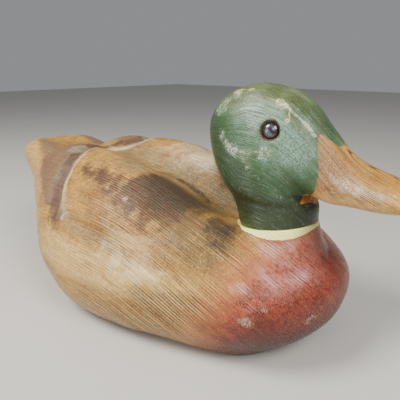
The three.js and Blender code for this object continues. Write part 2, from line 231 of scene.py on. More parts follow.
# The small ring in which the pale run ends: its middle and radius
RUN_END = (-18.5, 13.1, 150.9)
RUN_RING = 0.9

# Edge between green and ochre on the side of the head: height, ahead; both fit a ramp of this foot and span
BILL_FOOT = 100.0
BILL_SPAN = 50.0
BILL_EDGE = (
    (101, 17), (103.5, 17.5), (106, 20), (109, 27), (112, 30.4), (116, 32.3), (121, 33.1), (126, 32.7),
    (131, 31.6), (138, 30.2), (145, 29.2),
)

# Painted highlights on the breast, broken by the combed lines, on the near side only: middle, radii
BREAST_HIGHLIGHTS = (
    ((-28, 11, 76), (5, 8, 4)),
    ((-18, 20, 79), (5, 7, 4)),
    ((-39, 20, 63), (5, 8, 4)),
    ((-23, 30, 63), (8, 7, 4)),
    ((-53, 11, 58), (4, 7, 3)),
)

# Pale scars on the breast, and nicks down to bare wood along the wings: middle, size
BREAST_SCARS = (((50, 23, 49), 2.2), ((55, 16, 41), 3.6), ((24, 41, 39), 3.4), ((47, 2, 60), 2.6))
WING_NICKS = (((77, -136, 74), 3.2), ((77, -126, 71), 3.0), ((62.5, -80, 96), 1.8), ((83, -129, 62), 1.0))

# The camera stands where the photograph was taken, worked out from the outline
CAMERA_SIDE = -231.4
CAMERA_AHEAD = 139.0
CAMERA_HEIGHT = 180.3
CAMERA_PITCH = 17.35
CAMERA_TURN = -48.01
CAMERA_FOCAL_PX = 430.0
CAMERA_NEAR = 0.01
PICTURE_PX = 400.0
SENSOR = 36.0

# Name, place in metres, size, colour
LIGHTS = (
    ("window", (-0.62, 0.30, 0.92), 0.5, (1.0, 0.97, 0.92)),
    ("ceiling", (-0.2, -0.78, 0.8), 0.5, (1.0, 0.98, 0.94)),
    ("wall", (-1.0, 0.30, 0.32), 0.7, (0.94, 0.97, 1.0)),
    ("front", (-0.62, -0.66, 0.66), 0.3, (1.0, 1.0, 1.0)),
)
LIGHTS_AIM = (0, -0.04, 0.08)
SKY_COLOR = (0.93, 0.96, 1.0, 1)
FLOOR_HALF = 3


# Shape


def curve(knots, values, at):
    """Smooth curve through a few named values."""
    slope = np.empty_like(values)
    slope[1:-1] = (values[2:] - values[:-2]) / (knots[2:] - knots[:-2])
    slope[0] = (values[1] - values[0]) / (knots[1] - knots[0])
    slope[-1] = (values[-1] - values[-2]) / (knots[-1] - knots[-2])
    at = np.clip(at, knots[0], knots[-1])
    i = np.clip(np.searchsorted(knots, at, side="right") - 1, 0, len(knots) - 2)
    span = knots[i + 1] - knots[i]
    t = (at - knots[i]) / span
    return (
        ((2 * t - 3) * t * t + 1) * values[i]
        + t * (1 - t) ** 2 * span * slope[i]
        + (3 - 2 * t) * t * t * values[i + 1]
        + (t - 1) * t * t * span * slope[i + 1]
    )


def signed_power(value, power):
    """A power of the size of a value, with the value's own sign."""
    return np.sign(value) * np.abs(value) ** power


def seam_height(ahead):
    return SEAM_HEIGHT + ahead * math.tan(SEAM_TILT)


def end_rounding(ahead):
    """1 along the body, falling to 0 at the breast and at the tail's end."""
    u = np.clip((ahead - BREAST_START) / (BREAST_END - BREAST_START), 0, 1)
    breast = np.maximum(1 - u ** BREAST_POWERS[0], 0) ** (1 / BREAST_POWERS[1])
    u = np.clip((ahead - TAIL_START) / (TAIL_END - TAIL_START), 0, 1)
    tail = np.maximum(1 - u ** TAIL_POWERS[0], 0) ** (1 / TAIL_POWERS[1])
    return breast * tail


class Section:
    """The body's cross section at one or many places along the duck."""

    def __init__(self, ahead):
        columns = [curve(BODY[:, 0], BODY[:, k], ahead) for k in range(1, 8)]
        self.half, self.tops, self.back, self.dip, self.widest, self.low, self.power = columns
        self.rounding = end_rounding(ahead)
        self.half = self.half * self.rounding

    def upper(self, side, up):
        """Height of the upper side; "up" is 0 at the side and 1 on the back."""
        dip = (self.tops - self.back) * self.rounding * np.exp(-((side / self.dip) ** 2))
        rise = (self.tops - self.widest) * self.rounding * up
        return self.widest + rise - dip * np.clip(up * DIP_EASE, 0, 1)


def wing_edge(ahead):
    """Place of the wing's lower edge in degrees, and the depth of the cut round it."""
    return curve(WING[:, 0], WING[:, 1], ahead), curve(WING[:, 0], WING[:, 2], ahead)


def wing_cut(ahead, degrees, girth):
    """Depth of the cut round the folded wing, falling off inside and outside its edge."""
    edge, depth = wing_edge(ahead)
    rise = (wing_edge(ahead + 1)[0] - wing_edge(ahead - 1)[0]) / 2
    scale = girth * math.radians(1)
    distance = (90 - np.abs(degrees % 360 - 90) - edge) * scale / np.hypot(1, rise * scale)
    reach = np.where(distance > 0, WING_INSIDE, WING_OUTSIDE)
    ease = np.clip((ahead - WING[0, 0]) / WING_INSIDE, 0, 1)
    inside = (ahead >= WING[0, 0]) & (ahead <= WING[-1, 0])
    return np.where(inside, depth * ease * np.exp(-((distance / reach) ** 2)), 0)


def under_head(side, ahead, height):
    """The back stays low round the neck, so that the painted ring is seen from all sides."""
    away = np.hypot(side, ahead) - SEAM_RADIUS
    limit = seam_height(ahead) - SEAM_GAP + np.maximum(away, 0) * SHOULDER_SLOPE
    return np.where(away > FLARE + FLARE_BACKWARD, height, np.minimum(height, limit))


def body_surface(ahead, degrees):
    """Points of the body's skin, at so many degrees round its section from the left side over the back."""
    s = Section(ahead)
    angle = np.radians(degrees)
    up = signed_power(np.sin(angle), 2 / s.power)
    side = s.half * signed_power(np.cos(angle), 2 / s.power)
    below = s.widest + (s.widest - s.low) * s.rounding * up
    height = s.upper(side, up)
    cut = wing_cut(ahead, degrees, s.half / np.maximum(s.rounding, 1e-6))
    keep = 1 - cut / np.maximum(np.hypot(side, height - s.widest), 1)
    above = under_head(side * keep, ahead, s.widest + (height - s.widest) * keep)
    lower = up < 0
    side = np.where(lower, side, side * keep)
    height = np.maximum(np.where(lower, below, above), 0)
    return np.stack([side, np.broadcast_to(ahead, side.shape), height], -1)


def drawn(value, focus, reach, pull):
    """Draws values towards a focus, so that rows crowd there."""
    return value - pull * (value - focus) * np.exp(-(((value - focus) / reach) ** 2))


def body_skin():
    """Grid of points of the body, tail to breast."""
    station = np.arange(BODY_STATIONS) + END_STEP
    t = (1 - np.cos(np.pi * station / (BODY_STATIONS - 1 + 2 * END_STEP))) / 2
    ahead = drawn(TAIL_END + (BREAST_END - TAIL_END) * t, WING_TIP, TIP_REACH, TIP_PULL)[:, None]
    edge, depth = wing_edge(ahead)
    pull = EDGE_PULL * np.maximum(depth, 0) / DEEPEST_CUT
    even = np.linspace(0, 180, BACK_STEPS + 1)[None]
    place = drawn(np.minimum(even, 180 - even), np.minimum(edge, 90), EDGE_REACH, pull)
    back = np.where(even <= 90, place, 180 - place)
    s = Section(ahead)
    share = np.minimum(s.widest / np.maximum((s.widest - s.low) * s.rounding, 1e-6), 1)
    foot = np.minimum(np.degrees(np.arcsin(share ** (s.power / 2))), STEEPEST_FOOT)
    low = foot * np.arange(1, FLANK_STEPS + 1)[None] / FLANK_STEPS
    degrees = np.concatenate([back, 180 + low, 270 + 0 * foot, -low[:, ::-1]], 1)
    return body_surface(ahead, degrees)


def top_height(side, ahead):
    """Height of the body's upper side at places beside the neck."""
    s = Section(ahead)
    ratio = np.minimum(np.abs(side) / s.half, 0.999)
    return under_head(side, ahead, s.upper(side, (1 - ratio ** s.power) ** (1 / s.power)))


def neck_root():
    """Upright at the seam, running out onto the breast and the back."""
    turn = 2 * np.pi * np.arange(ROOT_SIDES) / ROOT_SIDES
    across, along = np.cos(turn), np.sin(turn)
    flare = FLARE - FLARE_BACKWARD * along
    reach = SEAM_RADIUS + flare
    lead = flare / 2
    top = seam_height(SEAM_RADIUS * along)
    foot = top_height(reach * across, reach * along)
    inner = top_height((reach - 1) * across, (reach - 1) * along)
    heights = [top, top - (top - foot) * FLARE_RISE, foot + (inner - foot) * lead, foot - FLARE_SINK]
    radii = [SEAM_RADIUS, SEAM_RADIUS + FLARE_LEAN, reach - lead, reach]
    t = np.linspace(0, 1, ROOT_STEPS)[:, None]
    weights = [(1 - t) ** 3, 3 * t * (1 - t) ** 2, 3 * t * t * (1 - t), t ** 3]
    radius = sum(w * r for w, r in zip(weights, radii))
    height = sum(w * h for w, h in zip(weights, heights))
    return np.stack([radius * across, radius * along, height], -1)


def head_ribs():
    """The ribs of the table, smoothly filled in, and the shrinking ones of the bill's rounded tip."""
    knots = np.arange(len(HEAD), dtype=float)
    at = np.linspace(0, len(HEAD) - 1, HEAD_SECTIONS)
    ribs = np.stack([curve(knots, HEAD[:, k], at) for k in range(HEAD.shape[1])], -1)
    ribs[:, 4] *= 1 - JAW_DEPTH * np.exp(-(((at - JAW_RIB) / JAW_REACH) ** 2))
    last = HEAD[-1]
    middle = np.array([(last[0] + last[2]) / 2, (last[1] + last[3]) / 2])
    t = np.sin(0.5 * np.pi * np.arange(1, BILL_TIP_RIBS + 1) / (BILL_TIP_RIBS + BILL_TIP_STEP))
    size = (1 - t ** BILL_TIP_POWER) ** (1 / BILL_TIP_POWER)
    tips = np.repeat(last[None], BILL_TIP_RIBS, 0)
    for k in range(4):
        centre = middle[k % 2] + (BILL_TIP[k % 2] - middle[k % 2]) * t
        tips[:, k] = centre + (last[k] - middle[k % 2]) * size
    tips[:, 4] = last[4] * size
    return np.concatenate([ribs, tips])


def head_skin():
    """Grid of points of neck, head and bill, from the seam to the bill's tip."""
    ribs = head_ribs()
    column = [ribs[:, k:k + 1] for k in range(ribs.shape[1])]
    out_ahead, out_height, in_ahead, in_height, half, wide, outer_power, throat_power, brow, crest = column
    row = np.arange(2 * HEAD_STEPS)[None]
    outer = row <= HEAD_STEPS
    # 0 at either side, 1 along the top of the head
    up = np.minimum(row, HEAD_STEPS - row) * 2 / HEAD_STEPS
    above = (up - BROW_AT) / (1 - BROW_AT)
    degrees = np.where(above < 0, brow * up / BROW_AT, brow + (90 - brow) * above)
    angle = np.radians(np.where(outer, degrees, -180 * (row - HEAD_STEPS) / HEAD_STEPS))
    power = np.where(outer, outer_power, throat_power)
    ridge = np.sqrt((up - BROW_AT) ** 2 + BROW_SOFT ** 2) - BROW_SOFT
    swell = np.where(outer, 1 + crest * np.exp(-ridge / BROW_WIDTH), 1)
    cosine = np.cos(angle)
    hand = np.where(outer, np.where(row <= HEAD_STEPS / 2, 1, -1), -np.sign(cosine))
    side = hand * half * swell * np.abs(cosine) ** (2 / power)
    u = wide + np.where(outer, 1 - wide, wide) * swell * signed_power(np.sin(angle), 2 / power)
    ahead = in_ahead + u * (out_ahead - in_ahead)
    height = in_height + u * (out_height - in_height)
    height[0] = seam_height(ahead[0]) + SEAM_GAP
    return np.stack([side, ahead, height], -1)


def grid_normals(points):
    """Outward normals of a grid of rings."""
    along = np.gradient(points, axis=0)
    around = np.roll(points, -1, 1) - np.roll(points, 1, 1)
    normal = np.cross(around, along)
    return normal / np.maximum(np.linalg.norm(normal, axis=-1, keepdims=True), 1e-9)


def waves(points, size, seed, count=24):
    """Gentle unevenness of handwork, about -1 to 1."""
    draw = np.random.default_rng(seed)
    total = np.zeros(points.shape[:-1])
    for _ in range(count):
        direction = draw.normal(size=3)
        direction *= draw.uniform(0.6, 1.6) / (size * np.linalg.norm(direction))
        total += np.sin(points @ direction * 2 * np.pi + draw.uniform(0, 2 * np.pi))
    return total / math.sqrt(count)


def mirrored(line):
    """The same line of places on the other side of the duck."""
    return [(-side, ahead, height) for side, ahead, height in line]


def soft_slope(past, softness, root):
    """0 well before a place and rising 2 for every 1 past it, with a soft turn."""
    return past + root(past * past + softness ** 2)


def body_across(side, ahead, height, root, least):
    """Place across the grain of the body; the grain drops toward the breast."""
    fall = soft_slope(ahead - GRAIN_TURN, GRAIN_TURN_SOFT, root) * GRAIN_FALL
    return (height + least(side, 2 * FOLD_SIDE - side) + fall) * GRAIN_SLANT


def head_across(side, ahead, height, root, least):
    """The same on the head, where the grain follows the forehead down to the bill."""
    forehead = soft_slope(ahead - FOREHEAD_TURN, HEAD_TURN_SOFT, root) * FOREHEAD_FALL
    bill = soft_slope(ahead - BILL_TURN, HEAD_TURN_SOFT, root) * BILL_RISE
    crown = root(side * side + CROWN_SOFT ** 2) * CROWN_FALL
    nape = least((NAPE_TOP - height) * (1 / NAPE_EASE), 1) * NAPE_TURN
    return height - crown + (forehead - bill) + least(ahead - NAPE_AHEAD, 0) * nape


def comb_lines(across, ahead, pitch, sine):
    """-1 in the grooves to 1 on the ridges of the combed grain; for the mesh and for the paint alike."""
    bend = sine(ahead / 37 + across / 26) * 1.3 + sine(ahead / 15 - across / 11 + 1.7) * 0.5
    return sine((across + bend) * (2 * math.pi / pitch))


def to_frame(points):
    """Duck's own lengths to the frame's metres."""
    side, ahead, height = points[..., 0], points[..., 1], points[..., 2]
    return np.stack([side, MIDDLE_AHEAD - ahead, height], -1) * MM


def grid_faces(rings, sides):
    """Quads between rings, and a fan of triangles at each end, to the two points that follow the grid."""
    ring = np.arange(rings - 1)[:, None] * sides
    here = np.arange(sides)[None]
    after = (here + 1) % sides
    quads = np.stack([ring + here, ring + after, ring + sides + after, ring + sides + here], -1)
    count = rings * sides
    row = count - sides
    start = [(count, (k + 1) % sides, k) for k in range(sides)]
    end = [(count + 1, row + k, row + (k + 1) % sides) for k in range(sides)]
    return quads.reshape(-1, 4).tolist() + start + end


def new_piece(name, grid, ends, material):
    """A closed piece from a grid of rings and its two end points."""
    mesh = bpy.data.meshes.new(name)
    points = np.concatenate([grid.reshape(-1, 3), np.array(ends, float)])
    mesh.from_pydata(to_frame(points).tolist(), [], grid_faces(grid.shape[0], grid.shape[1]))
    mesh.validate()
    mesh.shade_smooth()
    piece = bpy.data.objects.new(name, mesh)
    bpy.context.scene.collection.objects.link(piece)
    mesh.materials.append(material)
    return piece


def join(piece, other):
    """Makes one closed skin of two pieces that run into each other."""
    union = piece.modifiers.new("join", "BOOLEAN")
    union.operation = "UNION"
    union.solver = "MANIFOLD"
    union.object = other
    graph = bpy.context.evaluated_depsgraph_get()
    mesh = bpy.data.meshes.new_from_object(piece.evaluated_get(graph))
    old = piece.data
    piece.modifiers.clear()
    piece.data = mesh
    mesh.name = old.name
    bpy.data.meshes.remove(old)
    spare = other.data
    bpy.data.objects.remove(other)
    bpy.data.meshes.remove(spare)


def rub_smooth(piece, near, passes):
    """Rubs down the points of a piece that the test picks, to the middle of their neighbours."""
    skin = bmesh.new()
    skin.from_mesh(piece.data)
    chosen = [v for v in skin.verts if near(v.co)]
    every_way = {"use_axis_x": True, "use_axis_y": True, "use_axis_z": True}
    for _ in range(passes):
        bmesh.ops.smooth_vert(skin, verts=chosen, factor=0.5, **every_way)
    skin.to_mesh(piece.data)
    skin.free()


def eye_axis(hand):
    """Middle of the eye on the head's skin and the way it looks, in the duck's own lengths."""
    aim = np.array([hand * EYE_AIM[0], -EYE_AIM[1], EYE_AIM[2]])
    return np.array([hand * EYE_OUT, EYE_AHEAD, EYE_HEIGHT]), aim / np.linalg.norm(aim)


# Paint. Its masks run from 0 to 1 and are worked out from places on the duck, in millimetres.


class Value:
    """A node socket that takes part in plain arithmetic."""

    def __init__(self, paint, socket):
        self.paint = paint
        self.socket = socket

    def _math(self, operation, *others):
        return self.paint.node("ShaderNodeMath", {"operation": operation}, dict(enumerate((self, *others))))

    def __add__(self, other):
        return self._math("ADD", other)

    __radd__ = __add__

    def __mul__(self, other):
        return self._math("MULTIPLY", other)

    __rmul__ = __mul__

    def __sub__(self, other):
        return self._math("SUBTRACT", other)

    def __rsub__(self, other):
        return self._math("MULTIPLY_ADD", -1.0, other)

    def __truediv__(self, other):
        return self._math("DIVIDE", other)

    def __rtruediv__(self, other):
        return self.paint.node("ShaderNodeMath", {"operation": "DIVIDE"}, {0: other, 1: self})

    def __abs__(self):
        return self._math("ABSOLUTE")

    def sine(self):
        return self._math("SINE")

    def root(self):
        return self._math("SQRT")

    def at_most(self, other):
        return self._math("MINIMUM", other)

    def at_least(self, other):
        return self._math("MAXIMUM", other)

    def steps(self, low, high):
        """0 below low, 1 above high, smooth between."""
        ends = {"Value": self, "From Min": low, "From Max": high}
        return self.paint.node("ShaderNodeMapRange", {"interpolation_type": "SMOOTHSTEP"}, ends)

    def until(self, low, high):
        """1 below low, 0 above high, smooth between."""
        return 1 - self.steps(low, high)

    def within(self, low, high, soft):
        """1 between low and high, falling off over a soft edge outside them."""
        return self.steps(low - soft, low) * self.until(high, high + soft)


class Paint:
    """One procedural material, laid on coat by coat, and the nodes that make it."""

    def __init__(self, name):
        self.material = bpy.data.materials.new(name)
        self.material.use_nodes = True
        self.tree = self.material.node_tree
        self.tree.nodes.clear()
        self.place = self.node("ShaderNodeTexCoord", output="Object")
        x, y, z = self.split(self.place)
        self.side = x * (1 / MM)
        self.ahead = MIDDLE_AHEAD - y * (1 / MM)
        self.height = z * (1 / MM)
        self.here = self.vector(self.side, self.ahead, self.height)
        self.color = None

    def node(self, kind, settings=None, values=None, output=0):
        """Adds a node, sets it, then fills or links its sockets; gives back one of its outputs."""
        made = self.tree.nodes.new(kind)
        for key, value in (settings or {}).items():
            if key == "stops":
                self._stops(made.color_ramp, value)
            else:
                setattr(made, key, value)
        for key, value in (values or {}).items():
            if isinstance(value, Value):
                self.tree.links.new(value.socket, made.inputs[key])
            else:
                made.inputs[key].default_value = value
        return Value(self, made.outputs[output]) if made.outputs else None

    @staticmethod
    def _stops(ramp, stops):
        while len(ramp.elements) > 1:
            ramp.elements.remove(ramp.elements[-1])
        for k, (position, color) in enumerate(stops):
            element = ramp.elements[0] if k == 0 else ramp.elements.new(position)
            element.position = position
            element.color = (*color, 1)

    def split(self, vector):
        made = self.node("ShaderNodeSeparateXYZ", None, {0: vector}).socket.node
        return [Value(self, made.outputs[k]) for k in range(3)]

    def vector(self, x, y, z):
        return self.node("ShaderNodeCombineXYZ", None, {0: x, 1: y, 2: z})

    def vector_math(self, operation, values, output=0):
        return self.node("ShaderNodeVectorMath", {"operation": operation}, values, output)

    def noise(self, vector, scale, detail=2.0, roughness=0.5):
        """Evenly scattered cloudiness, about 0.3 to 0.7 with a middle of 0.5."""
        values = {"Vector": vector, "Scale": scale, "Detail": detail, "Roughness": roughness}
        return self.node("ShaderNodeTexNoise", None, values)

    def mix(self, factor, under, over, blend="MIX"):
        """Two colours; the first shows where the factor is 0."""
        settings = {"data_type": "RGBA", "blend_type": blend}
        under, over = [color if isinstance(color, Value) else (*color, 1) for color in (under, over)]
        return self.node("ShaderNodeMix", settings, {0: factor, 6: under, 7: over}, output=2)

    def coat(self, mask, color):
        """Lays a colour over what is there, as far as the mask lets it."""
        self.color = self.mix(mask, self.color, color)

    def stain(self, mask, share):
        """Darkens what is there, by a share of red, green and blue."""
        self.color = self.mix(mask, self.color, share, "MULTIPLY")

    def length(self, *parts):
        total = parts[0] * parts[0]
        for part in parts[1:]:
            total = total + part * part
        return total.root()

    def spot(self, centre, radii, side=None):
        """Distance from an oval spot on one side of the duck: 0 in its middle, 1 on its edge."""
        here = (side or self.side, self.ahead, self.height)
        return self.length(*[(v - c) * (1 / r) for v, c, r in zip(here, centre, radii)])

    def patch(self, centre, radii):
        """The same on both sides of the duck."""
        return self.spot(centre, radii, abs(self.side))

    def stroke(self, *lines):
        """Distance from lines, each through a few points."""
        nearest = None
        for a, b in (ends for line in lines for ends in zip(line[:-1], line[1:])):
            along = np.subtract(b, a)
            reach = tuple(along / float(along @ along))
            offset = self.vector_math("SUBTRACT", {0: self.here, 1: a})
            share = self.vector_math("DOT_PRODUCT", {0: offset, 1: reach}, 1).at_least(0.0).at_most(1.0)
            foot = self.vector_math("SCALE", {0: tuple(along), 3: share})
            gap = self.vector_math("DISTANCE", {0: offset, 1: foot}, 1)
            nearest = nearest.at_most(gap) if nearest else gap
        return nearest

    def from_eye(self, hand):
        """Place counted from the middle of an eye."""
        centre = eye_axis(hand)[0].tolist()
        return [v - c for v, c in zip((self.side, self.ahead, self.height), centre)]

    def above_seam(self):
        """Height above the tilted neck seam."""
        return self.height - SEAM_HEIGHT - self.ahead * math.tan(SEAM_TILT)

    def finish(self, roughness, height, bump_depth, **plain):
        bump = self.node("ShaderNodeBump", None, {"Height": height, "Strength": 1.0, "Distance": bump_depth})
        values = {"Base Color": self.color, "Roughness": roughness, "Normal": bump, **plain}
        shader = self.node("ShaderNodeBsdfPrincipled", None, values)
        self.node("ShaderNodeOutputMaterial", None, {"Surface": shader})
        return self.material


def tone(r, g, b):
    """A colour as a screen shows it, 0 to 255, to the renderer's numbers."""
    return tuple(((c / 255 + 0.055) / 1.055) ** 2.4 if c > 10 else c / 255 / 12.92 for c in (r, g, b))


class PaintedWood(Paint):
    """Paint on wood, with the grain, flaws and wear that body and head share."""

    def __init__(self, name, grain_across, pitch):
        super().__init__(name)
        along = self.ahead
        across = grain_across(self.side, along, self.height, Value.root, Value.at_most)
        self.comb = comb_lines(across, along, pitch, Value.sine)
        self.grain = self.noise(self.vector(along * 0.02, across * 0.5, self.side * 0.01), 1.0, 3.0, 0.6)
        self.fibre = self.noise(self.vector(along * 0.06, across * 1.7, self.side * 0.05), 1.0, 2.0, 0.6)
        # worn ridges, a few centimetres long
        self.streak = self.noise(self.vector(along * 0.03, across * 0.75, self.side * 0.01), 1.0, 2.0, 0.5)
        self.cloud = self.noise(self.here, 0.028, 2.0, 0.5)
        self.mottle = self.noise(self.here, 0.11, 4.0, 0.6)
        self.dapple = self.noise(self.here, 0.33, 3.0, 0.6)
        self.speck = self.noise(self.here, 0.9, 3.0, 0.7)
        self.grit = self.noise(self.here, 2.4, 2.0, 0.6)
        # how strongly the combed lines show, from place to place
        slow = self.vector(along * 0.025, across * 0.06, self.side * 0.02)
        self.depth = self.noise(slow, 1.0, 3.0, 0.6).steps(0.36, 0.62)
        self.ridge = self.comb.steps(-0.1, 0.9)
        self.groove = self.comb.until(-0.9, 0.1)
        self.ragged = self.mottle - 0.5
        self.loose = self.ragged * 30

    def brushed(self, distance, ragged, low, high):
        """A ragged mark, 1 nearer than low and 0 farther than high."""
        return (distance + self.ragged * ragged).until(low, high)

    def blotch(self, centre, radii, ragged, low, high):
        """A ragged patch on both sides of the duck, 1 in its middle and 0 outside."""
        return self.brushed(self.patch(centre, radii), ragged, low, high)


def wing_stops():
    """Stops of a ramp along the wing: where its lower edge lies and how many mm a degree is there."""
    first, last = WING[0, 0], WING[-1, 0]
    ahead = np.linspace(first, last, WING_STOPS)[:, None]

    def turn(at):
        point = body_surface(at, wing_edge(at)[0])[:, 0]
        rise = point[:, 2] - GIRTH_MIDDLE
        return np.degrees(np.arctan2(rise, point[:, 0])), np.hypot(point[:, 0], rise)

    degrees, radius = turn(ahead)
    rise = (turn(ahead + 1)[0] - turn(ahead - 1)[0]) / 2
    scale = radius * math.radians(1)
    weight = scale / np.hypot(1, rise * scale)
    place = (ahead[:, 0] - first) / (last - first)
    columns = (place.tolist(), (degrees / RAMP_DEGREES).tolist(), (weight / RAMP_WEIGHT).tolist())
    return [(at, (edge, share, 0.0)) for at, edge, share in zip(*columns)]


def paint_tan(p, look):
    """Ochre and tan over the whole block, with a painted highlight on top of the far wing."""
    p.color = p.mix(p.cloud.steps(0.38, 0.6), tuple(look.body_tan), tone(176, 132, 58))
    p.coat(p.mottle.steps(0.48, 0.66) * 0.65, tone(128, 90, 40))
    p.coat(p.mottle.until(0.34, 0.46) * 0.5, tone(204, 164, 86))
    # pale on top of the far wing: painted highlight
    far_wing_highlight = p.blotch((30, -86, 108), (24, 34, 12), 2.4, 0.1, 1.4)
    p.coat(far_wing_highlight * p.side.steps(-2, 16) * 0.85, tone(232, 216, 180))


def paint_tail(p):
    """Mauve brown behind the wings, painted shade in the groove round the wings' ends, and pale tan on the
    rim; gives back where it is dark.
    """
    slant = p.ahead + p.girth * 2.15 + 103 + p.loose * 0.5
    over_tail = (p.height + p.ahead * 0.55 + 52).steps(-4, 6) * p.upper
    mauve = slant.steps(-6, 8) * (p.wing + p.loose * 0.2).until(-4, 0) * p.girth.within(31, 74, 6)
    mauve = mauve * p.ahead.until(-146, -134) * over_tail
    p.coat(mauve * 0.85, tone(114, 88, 68))
    # dark arc just outside the wing's edge at its end: painted shade in the groove
    arc = (p.wing + p.loose * 0.25).within(-11, -3, 6) * p.ahead.within(-180, -142, 10) * p.upper
    p.coat(arc * (0.6 + p.mottle.steps(0.4, 0.6) * 0.4), tone(88, 62, 48))
    p.coat(slant.until(-10, 2) * p.ahead.until(-190, -170) * 0.6, tone(210, 168, 108))
    p.coat(p.blotch((39, -173, 114), (11, 9, 3), 1.5, 0.6, 1.2) * 0.35, tone(172, 168, 146))
    return arc.at_least(mauve * 0.7)


def paint_wing_edge(p):
    """Painted highlights along the edge of the wing, and the dull groove below it."""
    # pale just inside the wing's edge at its end: painted highlight
    rear = (p.wing + p.loose * 0.2).within(0.5, 9, 6) * p.ahead.until(-146, -122) * p.ahead.steps(-182, -174)
    p.coat(rear * p.upper * 0.8, tone(236, 214, 174))
    groove = (p.wing + p.loose * 0.3).within(-6, -0.5, 3) * p.ahead.within(-142, -72, 14)
    p.coat(groove * 0.6 * p.dapple.steps(0.35, 0.55), tone(132, 118, 92))
    # pale along the wing's lower edge: painted highlight
    lower = (p.wing + p.loose * 0.2).within(1, 6, 3) * p.ahead.within(-76, -56, 10)
    p.coat(lower * 0.5, tone(226, 196, 136))


def paint_back_dip(p):
    """Dull green-grey in the dip between the wings."""
    valley = (abs(p.side) + p.loose * 0.6).within(-1, 12, 12) * p.ahead.within(-158, -46, 14)
    p.coat(valley * 0.35, tone(140, 126, 92))
    p.coat(valley * p.dapple.steps(0.46, 0.6) * 0.7, tone(106, 108, 82))
    p.coat(p.blotch((38, -98, 112), (11, 24, 7), 2, 0.3, 1.2) * 0.45, tone(132, 130, 100))


def paint_dark_patch(p, look):
    """Dark brown patch on each wing, rubbed through in streaks low down; gives back where it is."""
    high = p.ahead.within(-76, -44, 14) * 14 + 55
    low = 36.5 - (p.ahead + 72).at_most(0.0) * 0.2 - p.ahead * 0.02
    drift = p.ragged * 22 + (p.grain - 0.5) * 10
    from_low = p.girth - low + drift
    dark = from_low.steps(-3, 4) * (high - p.girth + drift).steps(-3, 6)
    dark = dark * (p.ahead + p.loose * 0.6).within(-130, -36, 12)
    worn = p.ridge * p.streak.steps(0.47, 0.53) * (1 - from_low.steps(1, 8) * 0.85)
    p.coat(dark * (1 - worn * 0.9) * 0.95, tuple(look.wing_dark))
    p.coat(dark * p.mottle.steps(0.44, 0.6) * (1 - worn) * 0.3, tone(104, 70, 46))
    coal = p.length((p.ahead + 54) * (1 / 30), (p.girth - 60) * (1 / 15)) + p.ragged * 1.4
    coal = coal.until(0.6, 1.15)
    p.coat(coal * (1 - worn * 0.6) * 0.85, tone(58, 46, 32))
    p.coat(p.blotch((50, -22, 78), (24, 34, 20), 2.0, 0.4, 1.2) * 0.9, tone(116, 88, 38))
    p.coat(p.brushed(p.stroke(CREASE), 8, 0.8, 3.4) * 0.8, tone(52, 42, 30))
    return dark.at_least(coal)


def paint_smudge(p):
    """Smoky smudge beside the neck and behind it; gives back where it is."""
    smudge = p.patch((36, -17, 85), (14, 15, 10)).at_most(p.patch((46, -17, 77), (10, 18, 9)) + 0.35)
    smudge = (smudge + p.ragged * 1.6).until(0.3, 1.2)
    p.coat(smudge * (p.dapple.steps(0.38, 0.52) * 0.35 + 0.6), tone(48, 38, 28))
    p.coat(smudge * p.speck.steps(0.54, 0.64) * 0.35, tone(128, 112, 104))
    p.coat(p.blotch((8, -50, 84), (18, 18, 12), 2.2, 0.4, 1.15) * 0.5, tone(88, 72, 48))
    return smudge


def paint_flank(p):
    """Pale along the middle of the flank, worn paint under a painted sheen, a painted highlight, and brown
    lines of the grain showing through below.
    """
    # pale band along the flank: worn paint and painted sheen
    sheen = (p.girth + p.loose * 0.3).within(6, 15, 7) * p.ahead.within(-150, -30, 24)
    p.coat(sheen * (0.5 + p.dapple.steps(0.42, 0.58) * 0.25), tone(226, 192, 122))
    # whitish streaky patch on the flank: painted highlight
    flank_highlight = p.blotch((77, -58, 60), (9, 30, 11), 2, 0.3, 1.2)
    p.coat(flank_highlight * (0.15 + p.streak.steps(0.44, 0.56) * p.fibre.steps(0.4, 0.5) * 0.65), tone(240, 222, 184))
    golden = p.mottle.steps(0.52, 0.62) * p.girth.until(10, 24) * p.ahead.until(-30, 0)
    p.coat(golden * 0.6, tone(196, 156, 70))
    uneven = p.height + p.loose * 0.5
    low = uneven.until(16, 44) * p.ahead.within(-150, -10, 20)
    p.coat(low * p.lined * p.groove * (0.4 + p.streak.steps(0.42, 0.56) * 0.6), tone(60, 42, 30))
    p.coat(low * p.lined * p.ridge * p.streak.until(0.44, 0.54) * 0.5, tone(230, 200, 146))
    brown = uneven.within(34, 46, 8) * p.ahead.within(-48, -12, 14)
    p.coat(brown * (0.3 + p.groove * 0.7), tone(80, 56, 42))
    p.coat(low * 0.4, tone(150, 122, 80))


